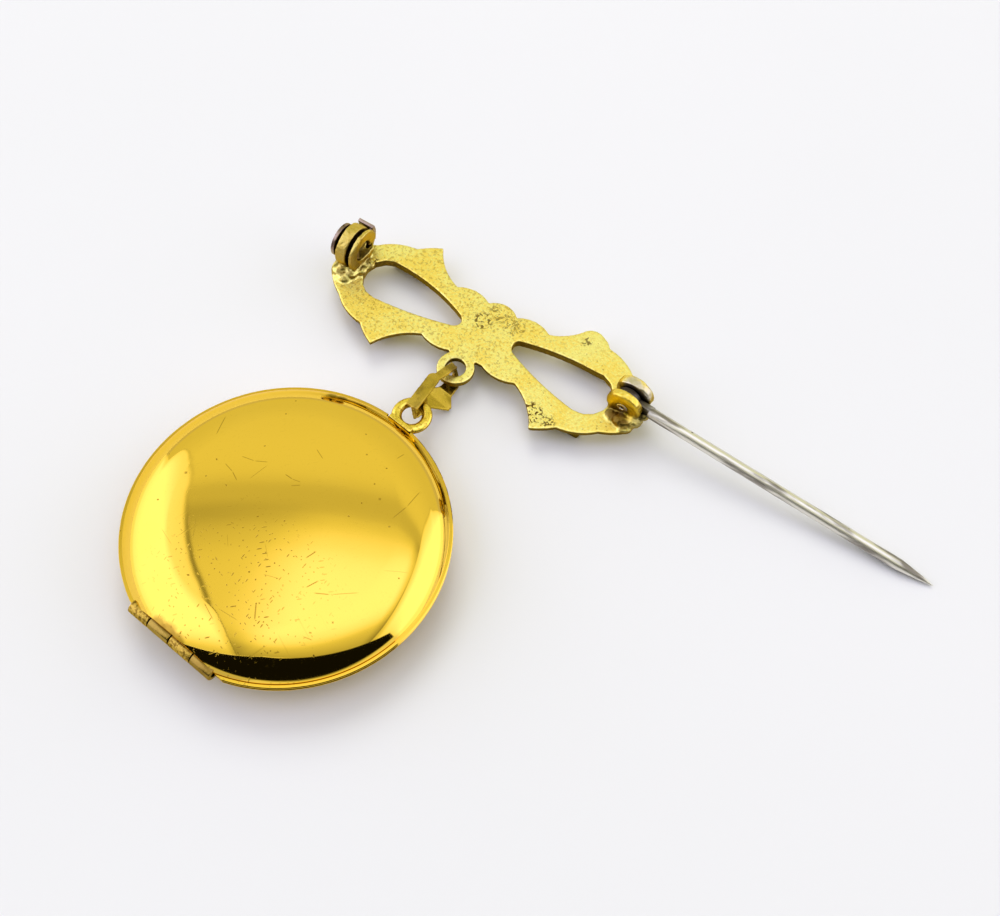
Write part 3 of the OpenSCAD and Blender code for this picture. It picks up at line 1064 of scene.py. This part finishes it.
@dataclass
class LocketShells:
    """The locket's two shells, their hinge and the loop, in the locket's own frame."""

    rim_r: float = 13.45
    rim_soft: float = 0.05
    foot_r: float = 13.12
    foot_h: float = 0.47
    foot_soft: float = 0.03
    segments: int = 192
    flange_low: float = 0.05
    flange_high: float = 0.27
    wall: float = 0.45
    slopes: Triple = (54.0, 20.0, 8.0)
    shoulder_r: float = 5.09
    bend_r: float = 8.0
    hinge_x: float = -0.3
    hinge_d: float = 12.45
    room_side: float = 0.12
    room_back: float = 0.15
    room_high: float = 3.0
    room_lean: float = 0.42
    knuckle_r: float = 0.64
    knuckle_end: Trace = ((0.08, 0.0), (0.02, 0.03), (0.0, 0.1))
    knuckles: tuple[float, ...] = (2.06, 2.2, 2.28, 2.12)
    gap: float = 0.08
    bore_r: float = 0.31
    web_reach: float = 0.75
    web_top: float = 0.29
    rim_cut: float = 5.4
    loop_d: float = 14.8
    loop_turn: float = -1.4
    loop_r: float = 1.75
    loop_hole_r: float = 0.84
    loop_t: float = 0.6
    solder_half: float = 1.2
    solder_reach: Line = (0.1, 0.6)
    notch_half: float = 1.32

    def dome(self, inset: float, steps: int) -> list[tuple[float, float]]:
        """Works out the dome's section as three arcs that run into each other.

        Args:
            inset: How far it lies inside the outer face.
            steps: Points in an arc.

        Returns:
            Radius and height of each point, from the foot to the crown.
        """
        slope, bend, crown = (math.radians(a) for a in self.slopes)
        first = Vector((self.foot_r, self.foot_h)) - self.shoulder_r * Vector(
            (math.sin(slope), math.cos(slope))
        )
        second = first + (self.shoulder_r - self.bend_r) * Vector((math.sin(bend), math.cos(bend)))
        crown_r = self.bend_r + second.x / math.sin(crown)
        third = Vector((0.0, second.y + (self.bend_r - crown_r) * math.cos(crown)))
        arcs = (
            (first, self.shoulder_r, slope, bend),
            (second, self.bend_r, bend, crown),
            (third, crown_r, crown, 0.0),
        )
        points = []
        for centre, radius, start, end in arcs:
            reach = radius - inset
            for i in range(steps):
                a = start + (end - start) * i / steps
                points.append((centre.x + reach * math.sin(a), centre.y + reach * math.cos(a)))
        points.append((0.0, third.y + crown_r - inset))
        return points

    def hinge_long(self) -> float:
        """Returns the hinge's length over its knuckles."""
        return sum(self.knuckles) + 3 * self.gap

    def hinge_room(self, name: str, inset: float) -> Obj:
        """Makes the leaning block that the hinge takes out of a shell.

        Args:
            name: Object's name.
            inset: How far it reaches further into the shell.

        Returns:
            The block.
        """
        half = self.hinge_long() / 2 + self.room_side + inset
        back = -self.hinge_d + self.knuckle_r + self.room_back + inset
        high = self.room_high
        tool = Bench.block(
            name, (self.hinge_x - half, -self.rim_r - 2, -1.0), (self.hinge_x + half, back, high)
        )
        Bench.only(tool)
        for v in tool.data.vertices:
            v.select = v.co.y > back - 0.01 and v.co.z > high - 0.01
        bpy.ops.object.mode_set(mode="EDIT")
        bpy.ops.transform.translate(value=(0, -self.room_lean * high, 0))
        bpy.ops.object.mode_set(mode="OBJECT")
        return tool

    def shell(self, name: str) -> Obj:
        """Makes one shell with its back upwards and the seam at height 0.

        Args:
            name: Object's name.

        Returns:
            The shell, with its wall and its room for the hinge.
        """
        high, soft = self.flange_high, self.foot_soft
        rim = edged(self.rim_r, self.flange_low, high, self.rim_soft)
        rim += [(self.foot_r + soft, high), (self.foot_r, high + soft)]
        body = Bench.turned(name, rim + self.dome(0.0, 12), self.segments)
        inner = self.dome(self.wall, 8)
        hollow = Bench.turned(name + "_hollow", [(inner[0][0], -1.0)] + inner, self.segments)
        Bench.carve(hollow, self.hinge_room(name + "_inner_room", self.wall))
        Bench.carve(body, hollow)
        Bench.carve(body, self.hinge_room(name + "_room", 0.0))
        chord = Bench.block(
            name + "_chord",
            (-self.rim_cut, -self.hinge_d - 5, -1),
            (self.rim_cut, -self.hinge_d, 2),
        )
        Bench.carve(body, chord)
        return body

    def knuckle(self, index: int) -> Obj:
        """Makes one knuckle as a tube along X with rounded ends, and its web.

        Args:
            index: Its place along the hinge.

        Returns:
            The knuckle, in the locket's frame.
        """
        start = sum(self.knuckles[:index]) + index * self.gap - self.hinge_long() / 2
        long = self.knuckles[index]
        r = self.knuckle_r
        end = [(r - cut, z) for cut, z in self.knuckle_end]
        profile = end + [(radius, long - z) for radius, z in reversed(end)]
        tube = Bench.turned(f"knuckle_{index}", profile, 40)
        Bench.carve(tube, Bench.turned("bore", [(self.bore_r, -1), (self.bore_r, long + 1)], 32))
        Bench.move(tube, turned_by(90, "Y"))
        low, high = (0, 0, self.flange_low), (long, r + self.web_reach, self.web_top)
        web = Bench.block("web", low, high, 0.04)
        part = Bench.joined(f"knuckle_{index}", [tube, web])
        return Bench.move(part, Matrix.Translation((self.hinge_x + start, -self.hinge_d, 0)))

    def knuckle_pair(self, name: str, own: Sequence[int], front: bool) -> Obj:
        """Makes the knuckles of one shell.

        Args:
            name: Object's name.
            own: Places of its knuckles.
            front: Whether it is the front shell.

        Returns:
            The knuckles, set on the part.
        """
        pair = Bench.joined(name, [self.knuckle(i) for i in own])
        if front:
            Bench.move(pair, UPSIDE_DOWN)
            with Bench.editing(pair):
                bpy.ops.mesh.flip_normals()
        return Bench.move(pair, LOCKET.matrix())

    def loop(self) -> Obj:
        """Makes the loop and its soldered foot.

        Returns:
            Both in one, in the locket's frame.
        """
        Bench.clear()
        middle = (self.loop_r + self.loop_hole_r) / 2
        half = (self.loop_r - self.loop_hole_r) / 2
        centre = (0, self.loop_d, -self.flange_low - self.loop_t / 2)
        bpy.ops.mesh.primitive_torus_add(
            location=centre, major_radius=middle, minor_radius=half, major_segments=72,
            minor_segments=24,
        )
        ring = bpy.context.object
        Bench.settle(ring)
        with Bench.editing(ring):
            bpy.ops.transform.resize(value=(1, 1, self.loop_t / 2 / half), center_override=centre)
        half, (start, end) = self.solder_half, self.solder_reach
        low = (-half, self.foot_r + start, -self.flange_low - self.loop_t)
        foot = Bench.block("foot", low, (half, self.foot_r + end, self.flange_high), 0.1)
        part = Bench.joined("locket_loop", [ring, foot])
        return Bench.move(part, turned_by(self.loop_turn, "Z"))

    def build(self) -> None:
        """Builds the two shells, the knuckles and the loop, and dresses them."""
        back = self.shell("locket_back_shell")
        half, high = self.notch_half, self.flange_high + 0.05
        notch = Bench.block("notch", (-half, self.foot_r, -1), (half, self.foot_r + 1, high))
        Bench.move(notch, turned_by(self.loop_turn, "Z"))
        Bench.carve(back, notch)
        Bench.move(back, LOCKET.matrix())
        Bench.deliver(back, Body.LID, BRIGHT_GILT, ("locket_back",))
        front = self.shell("locket_front_shell")
        Bench.move(front, LOCKET.matrix() @ UPSIDE_DOWN)
        with Bench.editing(front):
            bpy.ops.mesh.normals_make_consistent(inside=False)
        Bench.deliver(front, Body.ROOT, UNDER_GILT, ("locket_front",))
        loop = Bench.move(self.loop(), LOCKET.matrix())
        Bench.deliver(loop, Body.ROOT, LOOP_GILT, angle=50)
        Bench.deliver(self.knuckle_pair("front_knuckles", (0, 2), True), Body.ROOT, SPECKLED_GILT)
        Bench.deliver(self.knuckle_pair("back_knuckles", (1, 3), False), Body.LID, SMOOTH_BRASS)
        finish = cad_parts["locket_hinge_pin"].data.materials
        finish.clear()
        finish.append(MAUVE_BRASS.material())


@dataclass
class PiercedBar:
    """The cast bar with its ring, its catch's cheeks and the pin joint's cheeks."""

    voxel: float = 0.085
    rounds: int = 5
    plate_top: float = 2.06
    solder: tuple[tuple[float, float, float, float], ...] = (
        (-27.8, 15.7, 2.3, 0.6), (-28.0, 15.4, 2.1, 0.7), (-26.9, 15.7, 2.2, 0.7),
        (-27.3, 15.2, 1.9, 0.9), (-26.3, 16.4, 2.1, 0.6), (-26.1, 17.3, 2.0, 0.6),
        (-28.45, 16.2, 2.05, 0.45), (1.0, 15.3, 2.2, 0.8), (2.0, 15.7, 2.3, 0.8),
        (0.1, 15.4, 2.0, 0.7), (1.5, 15.0, 1.9, 0.8), (2.4, 16.7, 2.1, 0.6),
    )
    solder_flat: float = 0.6
    solder_top: float = 2.9
    lump: float = 0.45
    lump_high: float = 0.17
    cheek_edge: float = 0.12
    rivet_r: float = 0.42

    def cheek(self, r: float, low: float, high: float, middle: tuple[float, float]) -> Obj:
        """Returns a cheek of the pin joint, a thick disc with the rivet's hole.

        Args:
            r: Radius.
            low: Near face, along the joint from the pin's middle.
            high: Far face.
            middle: The disc's shift along and above the pin.

        Returns:
            The disc on the part.
        """
        disc = Bench.turned("cheek", edged(r, -high, -low, self.cheek_edge), 56)
        Bench.move(disc, turned_by(90, "X"))
        Bench.move(disc, Matrix.Translation((middle[0], 0, middle[1])))
        bore = Bench.turned("rivet_hole", [(self.rivet_r, -2), (self.rivet_r, 2)], 32)
        Bench.carve(disc, Bench.move(bore, turned_by(90, "X")))
        return Bench.move(disc, PIN_LINE.matrix())

    def build(self) -> None:
        """Builds the softened bar with lumpy solder at both ends."""
        drops = [Bench.blob(drop, self.solder_flat) for drop in self.solder]
        near = self.cheek(1.6, -1.05, -0.26, (0.03, 0.12))
        far = self.cheek(1.55, 0.6, 1.42, (0.28, -0.1))
        bar = Bench.joined("bar_skin", [Bench.node_copy("bar"), near, far, *drops])
        Bench.soften(bar, self.voxel, self.rounds)
        # Lumps on all that stands over the plate, and fainter on the cheeks over the solder
        heights = [v.co.z for v in bar.data.vertices]
        rise = [max(0.0, min(1.0, (z - self.plate_top) / 0.3)) for z in heights]
        rise = [w * (0.55 if z > self.solder_top else 1.0) for w, z in zip(rise, heights)]
        Bench.lumps(bar, rise, self.lump, self.lump_high)
        Bench.deliver(bar, Body.ROOT, CAST_GILT, ("bar",), 60)


@dataclass
class PinAndCatch:
    """The opened pin with its rivet, and the turning lock of the catch."""

    wire_r: float = 0.51
    wire_start: float = 2.1
    rings: tuple[float, ...] = (2.4, 6.0, 12.0, 18.0)
    long: float = 29.45
    taper: float = 3.2
    taper_steps: int = 8
    dip: float = 5.8474
    eye_r: float = 1.04
    eye_hole_r: float = 0.45
    eye_span: Line = (-0.48, 0.16)
    neck_low: Triple = (0.7, -0.16, -0.42)
    neck_high: Triple = (2.45, 0.45, 0.42)
    lock_z: float = 0.65
    flat_tab_low: Triple = (-29.6, 2.14, -2)
    flat_tab_high: Triple = (-27, 3.5, 2)
    tab_x: float = -28.4
    tab_wide: float = 1.62
    tab_r: Line = (2.12, 2.47)
    tab_turn: Line = (20.0, -48.0)

    def wire(self) -> Obj:
        """Makes the pin's wire, neck and eye along X.

        Returns:
            The pin, before it is set on the part.
        """
        r, end, taper = self.wire_r, self.long, self.taper
        shaft = [(r * 0.8, self.wire_start)] + [(r, x) for x in self.rings]
        shaft.append((r, end - taper - 0.4))
        for i in range(self.taper_steps + 1):
            share = i / self.taper_steps
            shaft.append((r * (1 - share) ** 0.8 + 0.03 * share, end - taper + taper * share))
        shaft[-1] = (0.02, end - 0.01)
        shaft.append((0.0, end))
        wire = Bench.turned("pin_wire", shaft, 40)
        Bench.move(wire, turned_by(90, "Y"))
        eye = Bench.turned("eye", edged(self.eye_r, *self.eye_span, 0.06), 48)
        bore = Bench.turned("bore", [(self.eye_hole_r, -1), (self.eye_hole_r, 1)], 32)
        Bench.carve(eye, bore)
        Bench.move(eye, turned_by(90, "X"))
        neck = Bench.block("neck", self.neck_low, self.neck_high, 0.08)
        return Bench.joined("pin_wire", [wire, eye, neck])

    def lock(self) -> Obj:
        """Makes the lock with a curved thumb tab, softened all over.

        Returns:
            The lock, on the part.
        """
        lock = Bench.node_copy("catch_lock")
        Bench.move(lock, Matrix.Translation((0, 0, -self.lock_z)) @ PIN_LINE.matrix().inverted())
        Bench.carve(lock, Bench.block("flat_tab", self.flat_tab_low, self.flat_tab_high))
        low, high = self.tab_r
        Bench.clear()
        bpy.ops.mesh.primitive_plane_add(size=1, location=(self.tab_x, (low + high) / 2, 0))
        tab = bpy.context.object
        tab.scale = (self.tab_wide, high - low, 1)
        Bench.settle(tab)
        start, end = self.tab_turn
        Bench.move(tab, turned_by(start, "X"))
        with Bench.editing(tab):
            bpy.ops.mesh.spin(
                steps=14, angle=math.radians(start - end), center=(0, 0, 0), axis=(1, 0, 0)
            )
            bpy.ops.mesh.select_all(action="SELECT")
            bpy.ops.mesh.normals_make_consistent(inside=False)
        part = Bench.soften(Bench.joined("catch_lock_skin", [lock, tab]), 0.05, 4)
        return Bench.move(part, PIN_LINE.matrix() @ Matrix.Translation((0, 0, self.lock_z)))

    def build(self) -> None:
        """Builds the pin, dresses the rivet and builds the lock."""
        pin = self.wire()
        Bench.move(pin, PIN_LINE.matrix() @ turned_by(self.dip, "Y"))
        Bench.deliver(pin, Body.PIN, NICKEL, ("pin_stem",), 40)
        rivet = Bench.soften(Bench.node_copy("joint_rivet"), 0.05, 2)
        Bench.deliver(rivet, Body.ROOT, RIVET_METAL, ("joint_rivet",), 60)
        Bench.deliver(self.lock(), Body.LOCK, MAUVE_BRASS, ("catch_lock",), 60)


@dataclass
class Link:
    """The folded link between the bar's ring and the locket's loop."""

    voxel: float = 0.045
    rounds: int = 9

    def build(self) -> None:
        """Builds the link with softened folds."""
        link = Bench.soften(Bench.node_copy("connector_link"), self.voxel, self.rounds)
        Bench.deliver(link, Body.ROOT, OLIVE_BRASS, ("connector_link",), 45)


@dataclass
class LightTent:
    """The light tent, drawn as the world's light.

    A direction is met at u = x / z and v = y / z. An edge of the tent is a straight line
    there, given by its v at u = 0 and its slope, and a trace is a line through points.
    """

    roof_edge: Line = (0.607, 0.46)
    corner_edge: Line = (-1.05, 1.45)
    mouth_edge: Line = (-0.85, 0.25)
    table_edge: Line = (0.0, -0.03)
    fold: Trace = (
        (-3.2, 0.95), (-2.6, 0.9), (-2.2, 0.85), (-1.9, 0.78), (-1.5, 0.65), (-1.1, 0.5),
        (-0.83, 0.395), (-0.725, 0.267), (-0.623, 0.159), (-0.52, 0.07), (-0.427, 0.009),
        (-0.37, -0.04), (-0.315, -0.178), (-0.233, -0.4), (-0.105, -0.815), (0.0, -1.2),
    )
    side: Trace = (
        (-0.6, 2.0), (-0.27, 1.67), (-0.08, 1.48), (0.19, 1.18), (0.43, 0.92), (0.62, 0.77),
        (0.83, 0.64), (0.97, 0.58), (1.12, 0.6), (1.36, 0.69), (1.8, 0.85), (2.2, 0.97), (2.6, 1.2),
    )
    roof: Trace = (
        (-2.0, 0.76), (-1.0, 0.79), (-0.5, 0.83), (-0.2, 0.86), (-0.08, 0.76), (0.0, 0.64),
        (0.08, 0.8), (0.2, 1.2), (0.4, 1.48), (0.6, 1.5), (0.8, 1.37), (1.0, 1.1), (1.2, 0.8),
        (1.6, 0.6),
    )
    fold_slope: float = 0.31
    side_slope: float = 0.5
    least: float = 0.006

    def __post_init__(self) -> None:
        """Starts the world, and finds u, v and z of a direction."""
        self.world = bpy.data.worlds.new("light_tent")
        self.world.use_nodes = True
        s = self.sketch = Sketch(self.world.node_tree)
        axes = s.add("SeparateXYZ", {0: s.add("TexCoord").outputs["Generated"]}).outputs
        self.z = axes[2]
        height = s.most(self.z, 0.02)
        self.u = s.math("DIVIDE", axes[0], height)
        self.v = s.math("DIVIDE", axes[1], height)

    def past(self, distance: Socket, slope: float) -> Socket:
        """Returns the rise past a trace's end, at a slope."""
        return self.sketch.times(self.sketch.most(distance, 0.0), slope)

    def traced(self, value: Socket, points: Trace) -> Socket:
        """Finds the height of a trace.

        Args:
            value: Place along it.
            points: The trace.

        Returns:
            Its height there.
        """
        s = self.sketch
        x0, x1 = points[0][0], points[-1][0]
        y0, y1 = min(y for _, y in points), max(y for _, y in points)
        unit = [((x - x0) / (x1 - x0), (y - y0) / (y1 - y0)) for x, y in points]
        line = s.curve(s.math("DIVIDE", s.minus(value, x0), x1 - x0), unit)
        return s.plus(s.times(line, y1 - y0), y0)

    def below(self, edge: Line) -> Socket:
        """Returns how far v lies below an edge."""
        s = self.sketch
        return s.minus(s.plus(s.times(self.u, edge[1]), edge[0]), self.v)

    def dimmed(self, light: Socket, mask: Socket) -> Socket:
        """Returns the light that a mask leaves."""
        return self.sketch.times(light, self.sketch.minus(1.0, mask))

    def walls(self) -> Socket:
        """Draws the roof and the bright walls, with the creases between.

        Returns:
            Their light.
        """
        s, u, v = self.sketch, self.u, self.v
        beyond = self.past(s.minus(self.fold[0][0], u), self.fold_slope)
        left = s.minus(s.plus(self.traced(u, self.fold), beyond), v)
        beyond = self.past(s.minus(v, self.side[-1][0]), self.side_slope)
        right = s.minus(u, s.plus(self.traced(v, self.side), beyond))
        # Roof: dim far part, a darker band, and a bright near part that fades on all sides
        under = self.below(self.roof_edge)
        fade = s.times(s.ramp(left, -0.9, 0.0, 1.0, 0.6), s.ramp(right, -0.5, 0.0, 1.0, 0.62))
        faded = s.times(s.ramp(under, 0.0, 0.1), s.minus(1.0, fade))
        light = self.dimmed(self.traced(under, self.roof), faded)
        # Bright walls at the left and the right
        wall_l = s.times(s.ramp(left, 0.0, 0.35, 1.15, 1.66), s.ramp(self.z, 0.05, 0.4, 0.86, 1.0))
        wall_l = s.times(wall_l, s.ramp(self.below(self.corner_edge), -1.3, 0.0, 1.0, 0.5))
        wall_r = s.times(s.ramp(right, 0.0, 0.6, 1.15, 1.68), s.ramp(v, -0.4, 0.6, 0.62, 1.0))
        for mask, tone in (
            (s.ramp(left, -0.015, 0.03), wall_l),
            (s.ramp(right, -0.03, 0.03), wall_r),
        ):
            light = s.plus(self.dimmed(light, mask), s.times(tone, mask))
        fold = s.ramp(s.math("ABSOLUTE", left), 0.003, 0.016, 0.8, 0.0)
        fold = s.times(fold, s.ramp(v, 0.1, 0.3, 1.0, 0.3))
        crease = s.ramp(s.math("ABSOLUTE", right), 0.012, 0.06, 0.5, 0.0)
        crease = s.times(crease, s.ramp(v, 0.3, 0.7, 1.0, 0.3))
        return self.dimmed(light, s.most(fold, crease))

    def draw(self) -> None:
        """Draws the bright sides, a softer roof and a dark open front."""
        s = self.sketch
        # The open front, dark between the table and the roof's near edge
        front = s.math("MINIMUM", self.below(self.mouth_edge), self.below(self.corner_edge))
        front = s.math("MINIMUM", front, self.below(self.table_edge))
        dark = s.times(s.ramp(front, -0.012, 0.012), s.ramp(self.z, 0.1, 0.15))
        light = self.dimmed(self.walls(), dark)
        glint = s.ramp(s.math("ABSOLUTE", s.plus(front, 0.01)), 0.006, 0.02, 0.7, 0.0)
        light = s.plus(light, s.times(glint, s.ramp(self.u, 0.3, 0.5, 1.0, 0.0)))
        light = s.plus(light, self.least)
        tint = s.mix(s.ramp(light, 0.85, 1.5), (1.0, 1.0, 0.6), (1.0, 1.0, 1.25))
        tint = s.mix(s.ramp(self.z, 0.07, 0.14), (0.85, 0.85, 0.86), tint)
        back = self.world.node_tree.nodes["Background"]
        s.plug(back.inputs["Color"], tint)
        s.plug(back.inputs["Strength"], light)


@dataclass
class Studio:
    """The pale table, the lights and the camera."""

    eye: Triple = (25.927, -48.119, 119.987)
    right: Triple = (0.85214, 0.52314, 0.01377)
    up: Triple = (-0.46649, 0.74742, 0.47301)
    back: Triple = (0.23716, -0.4095, 0.88095)
    lens: float = 57.456
    table_size: float = 1.6
    card: Rgb = (0.735, 0.73, 0.742)
    card_shade: Rgb = (0.725, 0.722, 0.732)
    lamp_at: Triple = (-0.4, 0.5, 0.75)
    lamp_size: float = 0.6
    lamp_power: float = 3.4

    def camera(self) -> None:
        """Adds the camera at the photograph's angle."""
        data = bpy.data.cameras.new("camera")
        data.sensor_fit = "HORIZONTAL"
        data.sensor_width = 36.0
        data.lens = self.lens
        data.clip_start = 0.002
        data.clip_end = 10.0
        cam = bpy.data.objects.new("camera", data)
        bpy.context.scene.collection.objects.link(cam)
        axes = Matrix((self.right, self.up, self.back)).transposed().to_4x4()
        cam.matrix_world = Matrix.Translation([c / 1000 for c in self.eye]) @ axes
        bpy.context.scene.camera = cam

    def table(self) -> None:
        """Adds the pale table top."""
        Bench.clear()
        bpy.ops.mesh.primitive_plane_add(size=self.table_size, location=(0, 0, 0))
        top = bpy.context.object
        top.name = "table"
        material = bpy.data.materials.new("white_card")
        material.use_nodes = True
        sketch = Sketch(material.node_tree)
        shader = material.node_tree.nodes["Principled BSDF"]
        place = sketch.add("TexCoord").outputs["Object"]
        cloud = sketch.add("TexNoise", {"Vector": place, "Scale": 14.0, "Detail": 3.0}).outputs[0]
        tone = sketch.mix(sketch.ramp(cloud, 0.3, 0.7), self.card, self.card_shade)
        sketch.plug(shader.inputs["Base Color"], tone)
        shader.inputs["Roughness"].default_value = 0.7
        shader.inputs["Specular IOR Level"].default_value = 0.2
        top.data.materials.append(material)

    def lamp(self) -> None:
        """Adds a broad soft lamp that gives the shadows their side."""
        data = bpy.data.lights.new("lamp", "AREA")
        data.shape = "DISK"
        data.size = self.lamp_size
        data.energy = self.lamp_power
        lamp = bpy.data.objects.new("lamp", data)
        bpy.context.scene.collection.objects.link(lamp)
        place = Vector(self.lamp_at)
        turn = place.to_track_quat("Z", "Y").to_matrix().to_4x4()
        lamp.matrix_world = Matrix.Translation(place) @ turn
        lamp.visible_glossy = False

    def build(self) -> None:
        """Sets up the studio."""
        bpy.context.scene.view_settings.view_transform = "Standard"
        self.camera()
        self.table()
        tent = LightTent()
        tent.draw()
        bpy.context.scene.world = tent.world
        self.lamp()


def main() -> None:
    """Builds the studio and every piece."""
    logging.basicConfig(level=logging.INFO, format="%(name)s: %(message)s")
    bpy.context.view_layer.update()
    Studio().build()
    PiercedBar().build()
    PinAndCatch().build()
    Link().build()
    LocketShells().build()


if __name__ == "__main__":
    main()
